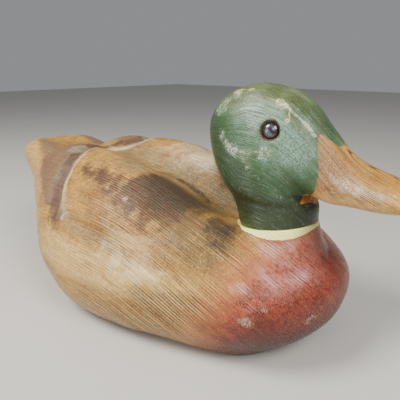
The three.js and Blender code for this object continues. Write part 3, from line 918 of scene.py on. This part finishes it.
def paint_breast(p, look):
    """Brick red breast, rubbed along its border, with painted shade at its foot, painted light on the far
    side, and painted sheen and highlights on the near side; gives back where it is.
    """
    border = p.height.at_most(75) * 0.45 - 26
    front = p.ahead - border + p.loose * 0.5 + (p.dapple - 0.5) * 16
    blush = (front + (p.speck - 0.5) * 14).steps(-16, 2)
    p.coat(blush * 0.7 * p.speck.steps(0.4, 0.56), tone(206, 122, 78))
    red = (front + (p.speck - 0.5) * 26 + p.comb * 1.5).steps(-6, 14)
    uneven = p.height + p.loose
    # darker towards the foot of the breast, where it curves under: painted shade
    foot = (uneven - p.ahead.steps(5, 26) * 10).until(8, 46)
    deep = p.mix(p.mottle.steps(0.4, 0.62), tuple(look.breast_red), tone(108, 34, 26))
    deep = p.mix(foot * 0.9, deep, tone(54, 10, 6))
    deep = p.mix((p.height + p.loose * 0.5).until(2, 8) * 0.6, deep, tone(110, 76, 48))
    # browner and paler on the far side of the upper breast: brown paint, lightened as painted light
    far_side = (p.side + p.loose * 0.3).steps(4, 26) * p.height.steps(40, 62)
    deep = p.mix(far_side * 0.7, deep, tone(168, 124, 108))
    p.coat(red, deep)
    p.coat(red * (front + p.loose * 0.5).until(6, 30) * p.speck.steps(0.42, 0.56) * 0.6, tone(206, 126, 72))
    # pale pink rub high on the breast, near side only: worn paint and painted sheen
    rubbed = (p.height + p.loose * 0.6).within(62, 80, 10) * p.side.within(-40, -6, 10)
    p.coat(red * rubbed * p.fibre.steps(0.44, 0.58) * 0.55, tone(216, 150, 142))
    pink = (p.ridge * 0.5 + 0.5) * p.speck.steps(0.5, 0.6) * uneven.steps(26, 56)
    p.coat(red * pink * 0.45, tone(204, 124, 104))
    p.coat(red * p.grit.steps(0.53, 0.6) * (0.15 + p.height.steps(24, 50) * 0.35), tone(208, 128, 84))
    p.stain(red * p.grit.until(0.38, 0.46) * 0.5, (0.5, 0.4, 0.4))
    p.stain(red * p.dapple.until(0.38, 0.5) * 0.6, (0.5, 0.36, 0.34))
    # whitish streaks on the ridges of the comb: painted highlights
    for centre, radii in BREAST_HIGHLIGHTS:
        highlight = p.brushed(p.spot(centre, radii), 2.6, 0.0, 1.5)
        p.coat(highlight * (0.08 + p.ridge * p.fibre.steps(0.44, 0.54) * 0.55), tone(250, 216, 230))
    scarred = p.mix(p.speck.steps(0.46, 0.56), tone(204, 184, 160), tone(120, 100, 88))
    for centre, size in BREAST_SCARS:
        scar = p.patch(centre, (size, size * 1.8, size * 0.8)) + p.ragged * 5 + (p.speck - 0.5) * 3
        p.coat(scar.until(0.4, 1.1) * 0.6, scarred)
    return red


def paint_body_grain(p, dim, red):
    """Dark lines between the ridges of the grain, pores, chips and specks."""
    lines = p.depth * (0.25 + p.lined * 0.75)
    plain = dim * (1 - red)
    p.stain(p.groove * lines * p.streak.steps(0.42, 0.56) * (0.9 - red * 0.5), (0.46, 0.36, 0.26))
    p.coat(p.ridge * lines * p.streak.until(0.42, 0.52) * 0.55 * plain, tone(226, 190, 120))
    p.stain(p.grain.until(0.36, 0.48) * 0.22, (0.56, 0.46, 0.34))
    p.stain(p.fibre.steps(0.50, 0.57) * 0.5, (0.54, 0.44, 0.34))
    p.stain(p.speck.steps(0.52, 0.62) * 0.4, (0.5, 0.4, 0.3))
    p.coat(p.speck.until(0.36, 0.46) * 0.3 * plain, tone(230, 196, 126))
    chips = p.grit.steps(0.70, 0.735) * p.dapple.steps(0.48, 0.58)
    p.coat(chips * 0.9, tone(238, 228, 206))
    bare_wood = p.mix(p.grit.steps(0.45, 0.55), tone(86, 76, 66), tone(232, 224, 206))
    for centre, size in WING_NICKS:
        nick = p.patch(centre, (size,) * 3) + (p.speck - 0.5) * 3
        p.coat(nick.until(0.5, 0.9) * 0.8, bare_wood)


def paint_ring(p, look):
    """Cream ring painted just under the seam; gives back where it is."""
    thick = p.length(p.side + 22.5, p.ahead - 14.5).until(4, 27)
    behind = p.ahead.until(-20, -8)
    line = (0 - p.above_seam()).at_least(0.0) + p.length(p.side, p.ahead) - SEAM_RADIUS
    line = line - thick * 3.7 + behind * 2 + (p.dapple - 0.5) * 2.0
    ring = line.until(3.3, 3.8)
    cream = p.mix(p.mottle.steps(0.42, 0.6) * 0.3, tuple(look.ring_cream), tone(244, 226, 130))
    cream = p.mix(p.ahead.steps(19, 26) * 0.55, cream, tone(170, 158, 104))
    p.coat(p.brushed(line, 4, 3.7, 6.5) * 0.45, tone(120, 96, 62))
    p.coat(ring, p.mix(p.speck.steps(0.58, 0.66) * 0.5, cream, tone(196, 176, 120)))
    return ring


def body_paint(look):
    """Paint of the whole body, from the tan ground to the cream ring."""
    p = PaintedWood("body_paint", body_across, COMB_PITCH)
    girth = p.node("ShaderNodeMath", {"operation": "ARCTAN2"}, {0: p.height - GIRTH_MIDDLE, 1: abs(p.side)})
    # degrees round the body, 0 at the side and 90 on the back
    p.girth = girth * (180 / math.pi)
    place = (p.ahead - WING[0, 0]) / (WING[-1, 0] - WING[0, 0])
    edge, weight, _ = p.split(p.node("ShaderNodeValToRGB", {"stops": wing_stops()}, {0: place}))
    # millimetres inside the lower edge of the folded wing
    p.wing = (p.girth - edge * RAMP_DEGREES) * weight * RAMP_WEIGHT
    p.upper = p.height.steps(56, 68)
    p.lined = p.ahead.steps(-125, -80)
    paint_tan(p, look)
    dark_tail = paint_tail(p)
    paint_wing_edge(p)
    paint_back_dip(p)
    dark_wing = paint_dark_patch(p, look)
    smudge = paint_smudge(p)
    dim = 1 - dark_wing.at_least(smudge).at_least(dark_tail) * 0.85
    paint_flank(p)
    red = paint_breast(p, look)
    paint_body_grain(p, dim, red)
    ring = paint_ring(p, look)
    rough = 0.28 + p.mottle * 0.16 + p.groove * 0.12 - red * 0.1 + (1 - dim) * 0.2
    height = p.comb * p.depth * 0.08 + p.grain + p.fibre * 0.5 + p.mottle * 0.7 + p.speck * 0.25 + ring * 0.35
    polish = {"Specular IOR Level": 0.4, "Coat Weight": 0.06, "Coat Roughness": 0.3}
    return p.finish(rough, height, BODY_RELIEF, **polish)


def paint_green(p, look):
    """Clear green on the cheek, olive on the crown, painted shade down the neck, under the cheek and chin and
    at the back of the head, a painted highlight high on the side, and a pale haze round the eye.
    """
    p.color = p.mix(p.cloud.steps(0.38, 0.6), tuple(look.head_green), tone(52, 84, 50))
    p.coat(p.mottle.steps(0.46, 0.64) * 0.45, tone(76, 104, 66))
    p.coat((p.height + p.loose * 0.3).steps(150, 166) * 0.8, tone(112, 124, 78))
    # darker down the neck: painted shade under the head
    neck = (p.height + p.ahead * 0.12 + p.loose * 0.25).until(101, 116)
    p.coat(neck * 0.85, tone(50, 62, 34))
    # dark band under the cheek: dark paint and painted shade
    band = (p.height - p.ahead * 0.02 + p.loose * 0.1).within(97.5, 103, 6) * p.ahead.steps(-30, -10)
    p.coat(band * 0.7, tone(34, 42, 24))
    # nearly black on the front of the neck under the bill: painted shade
    p.coat(neck * p.ahead.steps(8, 26) * 0.9, tone(24, 18, 8))
    # darker at the back and the lower rear of the head: painted shade
    back = (p.ahead + (p.height - 126) * 1.2 + p.loose * 0.4).until(-22, 4)
    p.coat(back * 0.6, tone(38, 52, 28))
    # pale streaks high on each side of the head: painted highlight
    highlight = p.blotch((24, 0, 155), (16, 26, 10), 1.6, 0.5, 1.25)
    p.coat(highlight * (0.08 + p.fibre.steps(0.44, 0.58) * 0.5), tone(176, 196, 186))
    haze = p.blotch((20, 15, 138), (12, 22, 18), 1.6, 0.4, 1.3)
    p.coat(haze * (0.12 + p.speck.steps(0.44, 0.58) * 0.45), tone(160, 194, 182))


def bill_mask(p):
    """1 on the bill, which meets the green in a curve on the side and a notch on the forehead."""
    stops = [((height - BILL_FOOT) / BILL_SPAN, (ahead / BILL_SPAN,) * 3) for height, ahead in BILL_EDGE]
    up = (p.height - BILL_FOOT) / BILL_SPAN
    edge, _, _ = p.split(p.node("ShaderNodeValToRGB", {"stops": stops}, {0: up}))
    crown = abs(p.side).until(2, 11) * p.height.steps(130, 137) * 8.5
    mouth_corner = (abs(p.side) - 6 - (p.ahead - 20) * 1.6).at_least(0.0) * p.height.until(106, 110)
    to_bill = p.ahead - edge * BILL_SPAN - crown + p.ragged * 5 + (p.speck - 0.5) * 2 - mouth_corner
    throat = p.side.steps(-4, 4) * p.side.until(8, 12) * 2.4
    return to_bill.steps(-0.5, 0.5) * (p.height + p.ragged * 2 + throat).steps(101.2, 102)


def paint_bill(p, look):
    """Ochre bill, orange at the corner of the mouth, and a painted highlight along the side over pale wear;
    gives back where it is.
    """
    bill = bill_mask(p)
    root = p.blotch((13, 38, 122), (10, 13, 18), 2, 0.4, 1.2)
    mouth = p.blotch((11, 28, 107), (11, 11, 9), 2.4, 0.4, 1.3)
    # pale streak along the bill: painted highlight over pale wear
    shine = p.brushed(p.stroke(BILL_SHINE, mirrored(BILL_SHINE)), 6, 0.6, 4.4)
    ochre = p.mix(p.cloud.steps(0.3, 0.7), tuple(look.bill_ochre), tone(170, 120, 54))
    for mask, over in (
        (p.mottle.steps(0.46, 0.64) * 0.5, tone(150, 100, 44)),
        (root * 0.75, tone(140, 90, 56)),
        (mouth * 0.75, tone(248, 144, 58)),
        (p.streak.steps(0.48, 0.56) * p.depth * 0.6, tone(132, 90, 48)),
        (p.mottle.until(0.36, 0.46) * 0.3, tone(214, 166, 84)),
        (p.speck.steps(0.53, 0.6) * (0.2 + root * 0.35), tone(226, 200, 158)),
        (shine * (0.2 + p.speck.steps(0.44, 0.54) * 0.65), tone(246, 232, 212)),
        (p.groove * p.fibre.steps(0.45, 0.54) * 0.85, tone(98, 62, 30)),
        (p.height.until(107, 114) * p.ahead.steps(26, 34) * 0.7, tone(228, 196, 138)),
        (p.ahead.steps(66, 84) * 0.5, tone(192, 132, 40)),
    ):
        ochre = p.mix(mask, ochre, over)
    p.coat(bill, ochre)
    p.coat(p.ahead.within(26, 33, 3) * bill * p.dapple.steps(0.46, 0.6) * 0.35, tone(112, 104, 66))
    return bill


def paint_head_grain(p, bill):
    """Darker olive along the crown, combed lines and pores."""
    on_top = (p.height + p.ahead.at_least(5) * 1.1 - 5 + abs(p.side) * 0.4).steps(166, 171)
    p.coat(on_top * (1 - bill) * p.mottle.steps(0.35, 0.6) * 0.7, tone(74, 84, 38))
    p.stain(p.groove * p.depth * p.streak.steps(0.40, 0.54) * (on_top * 0.7 + 0.4), (0.38, 0.36, 0.28))
    pale = p.mix(bill, tone(140, 164, 132), tone(232, 206, 150))
    p.coat(p.ridge * p.depth * p.fibre.steps(0.46, 0.6) * 0.35, pale)
    p.stain(p.grain.until(0.38, 0.48) * 0.45, (0.56, 0.52, 0.42))
    p.stain(p.speck.steps(0.53, 0.61) * 0.45, (0.5, 0.48, 0.38))


def paint_head_wear(p):
    """Worn whitish arc behind and below the eye, chips at nape and ridge, a painted highlight along the brow
    ridge, and a pale run.
    """
    rub = p.speck.steps(0.48, 0.54) * p.dapple.steps(0.42, 0.52)
    arc = p.stroke(CHEEK_ARC).at_most(p.stroke(CHEEK_DRIP) + 0.8).at_most(p.stroke(FAR_CHEEK) + 1)
    arc = p.brushed(arc + (p.speck - 0.5) * 6, 16, 0.6, 4.2)
    whitish = p.mix(p.mottle.steps(0.45, 0.55), tone(222, 230, 214), tone(214, 206, 160))
    p.coat(arc * (0.1 + rub * 0.9) * 0.75, whitish)
    nape = p.blotch((22, -30, 157), (10, 10, 6), 4, 0.3, 0.8)
    p.coat(nape * (0.2 + rub * 0.8) * 0.7, tone(178, 196, 156))
    flakes = p.brushed(p.stroke(CROWN_FLAKES, BROW_CHIPS), 10, 0.8, 2.2)
    p.coat(flakes * p.speck.steps(0.46, 0.52) * 0.85, tone(222, 208, 156))
    # pale line along the brow ridge: painted highlight
    ridge = p.brushed(p.stroke(BROW_EDGE, mirrored(BROW_EDGE)), 4, 0.4, 1.3)
    p.coat(ridge * p.speck.steps(0.38, 0.5) * 0.7, tone(206, 220, 196))
    ring = abs(p.spot(RUN_END, (RUN_RING,) * 3) - 1) * RUN_RING
    run = p.stroke(PALE_RUN).at_most(ring) + (p.speck - 0.5) * 0.8
    p.coat(run.until(0.2, 0.55) * 0.9, tone(206, 190, 146))


def paint_scratches(p):
    """Fine scratches two ways, and specks; gives back the scratches."""
    lengthwise = p.vector(p.ahead * 0.5 + p.height * 0.22, p.height * 0.06 - p.ahead * 0.03, p.side * 0.1)
    upright = p.vector(p.height * 0.5 - p.ahead * 0.3, p.ahead * 0.05 + p.height * 0.04, p.side * 0.1)
    scratch = (abs(p.noise(lengthwise, 1.5, 1.0) - 0.5) * 90).until(0.3, 1.0)
    scratch = scratch.at_least((abs(p.noise(upright, 1.3, 1.0) - 0.5) * 90).until(0.3, 1.0))
    scratch = scratch * p.dapple.steps(0.5, 0.6)
    p.coat(scratch * 0.35, tone(190, 200, 174))
    chips = p.grit.steps(0.70, 0.735) * p.dapple.steps(0.5, 0.6)
    p.coat(chips * 0.7, tone(226, 218, 186))
    return scratch


def paint_putty(p):
    """Brown filler round the glass; gives back where it is."""
    from_eyes = p.length(*p.from_eye(-1)).at_most(p.length(*p.from_eye(1)))
    putty = (from_eyes + (p.speck - 0.5) * 2.0).until(5.9, 6.6)
    p.coat(putty, p.mix(p.grit.steps(0.45, 0.6), tone(40, 30, 22), tone(116, 92, 62)))
    return putty


def head_paint(look):
    """Paint of neck, head and bill, and of the filler round the glass."""
    p = PaintedWood("head_paint", head_across, HEAD_PITCH)
    paint_green(p, look)
    bill = paint_bill(p, look)
    paint_head_grain(p, bill)
    paint_head_wear(p)
    scratch = paint_scratches(p)
    putty = paint_putty(p)
    rough = 0.24 + p.mottle * 0.14 + p.groove * 0.1 + putty * 0.25
    height = p.comb * p.depth * 0.05 + p.grain * 0.8 + p.fibre * 0.4 + p.mottle * 0.7 + p.speck * 0.15
    polish = {"Specular IOR Level": 0.45, "Coat Weight": 0.1, "Coat Roughness": 0.25}
    return p.finish(rough, height - scratch * 0.3, HEAD_RELIEF, **polish)


def eye_glass(look, hand):
    """Blue-grey glass with painted reflections in the middle, dark at its rim."""
    p = Paint("eye_glass_right" if hand < 0 else "eye_glass_left")
    here = p.vector(*p.from_eye(hand))
    flat = p.vector_math("CROSS_PRODUCT", {0: here, 1: tuple(eye_axis(hand)[1])})
    radius = p.vector_math("LENGTH", {0: flat}, 1)
    rays = p.noise(here, 1.4, 3.0)
    # paler blue-grey patches: painted reflections
    painted_reflection = p.noise(here, 0.35, 3.0).steps(0.42, 0.6)
    p.color = p.mix(painted_reflection, tuple(look.eye_grey), tone(74, 79, 90))
    p.coat((radius + (rays - 0.5) * 0.6).steps(2.6, 3.6) * 0.7, tone(44, 34, 28))
    rim = (radius + (rays - 0.5) * 0.4).steps(3.8, 4.2)
    p.coat(rim, (0.01, 0.008, 0.006))
    return p.finish(rim * 0.15 + 0.1, rays, GLASS_RELIEF, **{"Coat Weight": 0.6, "Coat Roughness": 0.05})


def floor_paint():
    p = Paint("pale_floor")
    cloth = p.noise(p.place, 9.0, 2.0)
    p.color = p.mix(cloth, (0.52, 0.50, 0.47), (0.56, 0.54, 0.51))
    return p.finish(cloth * 0.1 + 0.7, cloth, CLOTH_RELIEF)


# Pieces


def make_body(look):
    """Breast, back, wings and tail in one piece, with the neck's stump run into it."""
    skin = body_skin()
    side, ahead, height = (skin[..., k] for k in range(3))
    # knife and comb marks, none where the underside lies flat
    lift = np.clip(height / FLAT_FOOT, 0, 1)
    across = body_across(side, ahead, height, np.sqrt, np.minimum)
    strength = np.clip(RIPPLE_SHARE + RIPPLE_SWING * waves(skin * RIPPLE_STRETCH, *RIPPLE_WAVES), 0, 1)
    ripple = comb_lines(across, ahead, RIPPLE_PITCH, np.sin) * look.comb_depth * strength
    marks = waves(skin, *BODY_WAVES) * look.handwork + ripple
    skin = skin + grid_normals(skin) * marks[..., None] * lift[..., None]
    ends = [(0, end, curve(BODY[:, 0], BODY[:, 5], end)) for end in (TAIL_END, BREAST_END)]
    paint = body_paint(look)
    piece = new_piece("carved_body", skin, ends, paint)
    join(piece, new_piece("neck_root", neck_root(), [(0, 0, SEAM_HEIGHT), (0, 0, SEAM_HEIGHT / 2)], paint))
    reach = SEAM_RADIUS + FLARE

    def at_root(place):
        ahead = MIDDLE_AHEAD - place.y / MM
        away = math.hypot(place.x / MM, ahead) - reach + FLARE_BACKWARD * ahead / reach
        return abs(away) < ROOT_BLEND and place.z / MM > SEAM_HEIGHT / 2

    rub_smooth(piece, at_root, ROOT_RUBS)
    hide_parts("body")
    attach(piece, "root")


def make_head(look):
    """Neck, head and bill in one piece, with the two sockets sunk into it."""
    skin = head_skin()
    away = np.minimum(np.abs(skin[..., 2:3] - seam_height(skin[..., 1:2])) / SEAM_EASE, 1)
    uneven = waves(skin, *HEAD_WAVES)[..., None] * look.handwork * HEAD_SHARE * away
    skin = skin + grid_normals(skin) * uneven
    for hand in (-1, 1):
        centre, aim = eye_axis(hand)
        offset = skin - centre
        depth = offset @ aim
        radius = np.linalg.norm(offset - depth[..., None] * aim, axis=-1)
        facing = (np.sign(skin[..., 0]) == hand) & (depth > -SOCKET_REACH)
        edge = SOCKET_RADIUS + SOCKET_RAGGED * waves(skin, *SOCKET_WAVES)
        outward = np.clip((radius - SOCKET_INNER) / (edge - SOCKET_INNER), 0, 1)
        sink = SOCKET_DEPTH * (1 - outward ** SOCKET_POWER)
        skin = skin - np.where(facing, sink, 0)[..., None] * aim
    ends = [(0, 0, SEAM_HEIGHT + SEAM_GAP), (0, *BILL_TIP)]
    piece = new_piece("carved_head", skin, ends, head_paint(look))
    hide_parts("head")
    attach(piece, "root")


def make_eye(look, hand):
    """A glass dome with a rounded back, seated in its hole."""
    centre, aim = eye_axis(hand)
    across = np.cross(aim, (0, 0, 1.0))
    across /= np.linalg.norm(across)
    upward = np.cross(across, aim)
    lift = np.linspace(-0.5, 0.5, EYE_RINGS + 2)[1:-1] * np.pi
    turn = 2 * np.pi * np.arange(EYE_SIDES) / EYE_SIDES
    rim = EYE_PROUD - EYE_DOME
    out = rim + np.where(lift > 0, EYE_DOME, EYE_BACK) * np.sin(lift)
    radius = EYE_RADIUS * np.cos(lift)
    ring = np.cos(turn)[None, :, None] * across + np.sin(turn)[None, :, None] * upward
    points = centre + radius[:, None, None] * ring + out[:, None, None] * aim
    ends = [centre + (rim - EYE_BACK) * aim, centre + EYE_PROUD * aim]
    right = hand < 0
    piece = new_piece("glass_eye_right" if right else "glass_eye_left", points, ends, eye_glass(look, hand))
    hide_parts("eye_right" if right else "eye_left")
    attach(piece, "root")


def add_light(name, place, size, power, color):
    """A round soft light turned toward the duck."""
    data = bpy.data.lights.new(name, "AREA")
    data.shape = "DISK"
    data.size = size
    data.energy = power
    data.color = color
    light = bpy.data.objects.new(name, data)
    light.location = place
    light.rotation_euler = (Vector(LIGHTS_AIM) - Vector(place)).to_track_quat("-Z", "Y").to_euler()
    bpy.context.scene.collection.objects.link(light)


def lay_floor():
    mesh = bpy.data.meshes.new("floor")
    corners = [(x * FLOOR_HALF, y * FLOOR_HALF, 0) for x, y in ((-1, -1), (1, -1), (1, 1), (-1, 1))]
    mesh.from_pydata(corners, [], [(0, 1, 2, 3)])
    mesh.materials.append(floor_paint())
    floor = bpy.data.objects.new("floor", mesh)
    bpy.context.scene.collection.objects.link(floor)


def light_sky(strength):
    world = bpy.data.worlds.new("studio")
    world.use_nodes = True
    background = world.node_tree.nodes["Background"]
    background.inputs["Color"].default_value = SKY_COLOR
    background.inputs["Strength"].default_value = strength
    bpy.context.scene.world = world


def place_camera():
    data = bpy.data.cameras.new("camera")
    data.sensor_width = SENSOR
    data.lens = CAMERA_FOCAL_PX / PICTURE_PX * SENSOR
    data.clip_start = CAMERA_NEAR
    camera = bpy.data.objects.new("camera", data)
    camera.location = (CAMERA_SIDE * MM, (MIDDLE_AHEAD - CAMERA_AHEAD) * MM, CAMERA_HEIGHT * MM)
    camera.rotation_euler = (math.radians(90 - CAMERA_PITCH), 0, math.radians(CAMERA_TURN))
    bpy.context.scene.collection.objects.link(camera)
    bpy.context.scene.camera = camera


def make_stage(stage):
    lay_floor()
    light_sky(stage.sky)
    for name, place, size, color in LIGHTS:
        add_light(name, place, size, getattr(stage, name), color)
    place_camera()


# Add-on


def color_property(name, description, default):
    return FloatVectorProperty(
        name=name, description=description, default=default, subtype="COLOR", size=3, min=0.0, max=1.0
    )


def power_property(name, description, default):
    return FloatProperty(name=name, description=description, default=default, min=0.0, subtype="POWER")


class DecoyLook(PropertyGroup):
    handwork: FloatProperty(
        name="Handwork",
        description="How uneven the knife and rasp left the wood, in millimetres",
        default=0.35,
        min=0.0,
        max=2.0,
    )
    comb_depth: FloatProperty(
        name="Comb Depth",
        description="Depth of the lines combed along the body, in millimetres",
        default=0.035,
        min=0.0,
        max=0.5,
    )
    body_tan: color_property("Body Tan", "Main colour of back and flanks", tone(152, 106, 40))
    wing_dark: color_property("Wing Brown", "Dark patch on each folded wing", tone(74, 46, 28))
    breast_red: color_property("Breast Red", "Brick red of the breast", tone(142, 44, 36))
    ring_cream: color_property("Ring Cream", "Painted ring at the foot of the neck", tone(255, 252, 150))
    head_green: color_property("Head Green", "Green of head and neck", tone(56, 94, 58))
    bill_ochre: color_property("Bill Ochre", "Ochre of the bill", tone(182, 132, 38))
    eye_grey: color_property("Eye Grey", "Blue grey of the glass eye", tone(36, 38, 44))


class StageSettings(PropertyGroup):
    sky: FloatProperty(
        name="Sky", description="Strength of the even light from all round", default=0.30, min=0.0
    )
    window: power_property("Window", "Power of the large soft light", 16.0)
    wall: power_property("Wall", "Power of the low light that gives the sheen", 4.0)
    front: power_property("Front", "Power of the small light over the breast", 1.6)
    ceiling: power_property("Ceiling", "Power of the light overhead", 10.0)


class BuildBody(Operator):
    """Carve and paint the body with its wings, tail and neck ring"""

    bl_idname = "decoy.build_body"
    bl_label = "Body"

    def execute(self, context):
        make_body(context.scene.decoy_look)
        return {"FINISHED"}


class BuildHead(Operator):
    """Carve and paint the neck, head and bill"""

    bl_idname = "decoy.build_head"
    bl_label = "Head and Bill"

    def execute(self, context):
        make_head(context.scene.decoy_look)
        return {"FINISHED"}


class BuildEyes(Operator):
    """Set the two glass eyes in their holes"""

    bl_idname = "decoy.build_eyes"
    bl_label = "Glass Eyes"

    def execute(self, context):
        for hand in (-1, 1):
            make_eye(context.scene.decoy_look, hand)
        return {"FINISHED"}


class BuildStage(Operator):
    """Lay the pale floor, hang the lights and place the camera"""

    bl_idname = "decoy.build_stage"
    bl_label = "Stage"

    def execute(self, context):
        make_stage(context.scene.decoy_stage)
        return {"FINISHED"}


class DecoyPanel(Panel):
    """Lists the pieces of the decoy and their sizes and colours"""

    bl_idname = "VIEW3D_PT_decoy"
    bl_label = "Duck Decoy"
    bl_space_type = "VIEW_3D"
    bl_region_type = "UI"
    bl_category = "Decoy"

    def draw(self, context):
        for operator in STEPS:
            self.layout.operator(operator.bl_idname)
        for settings in (context.scene.decoy_look, context.scene.decoy_stage):
            for name in settings.__annotations__:
                self.layout.prop(settings, name)


STEPS = (BuildBody, BuildHead, BuildEyes, BuildStage)
CLASSES = (DecoyLook, StageSettings, *STEPS, DecoyPanel)


def register():
    for cls in CLASSES:
        bpy.utils.register_class(cls)
    bpy.types.Scene.decoy_look = PointerProperty(type=DecoyLook)
    bpy.types.Scene.decoy_stage = PointerProperty(type=StageSettings)


def unregister():
    del bpy.types.Scene.decoy_stage
    del bpy.types.Scene.decoy_look
    for cls in reversed(CLASSES):
        bpy.utils.unregister_class(cls)


def main():
    register()
    bpy.ops.decoy.build_body()
    bpy.ops.decoy.build_head()
    bpy.ops.decoy.build_eyes()
    bpy.ops.decoy.build_stage()


if __name__ == "__main__":
    main()
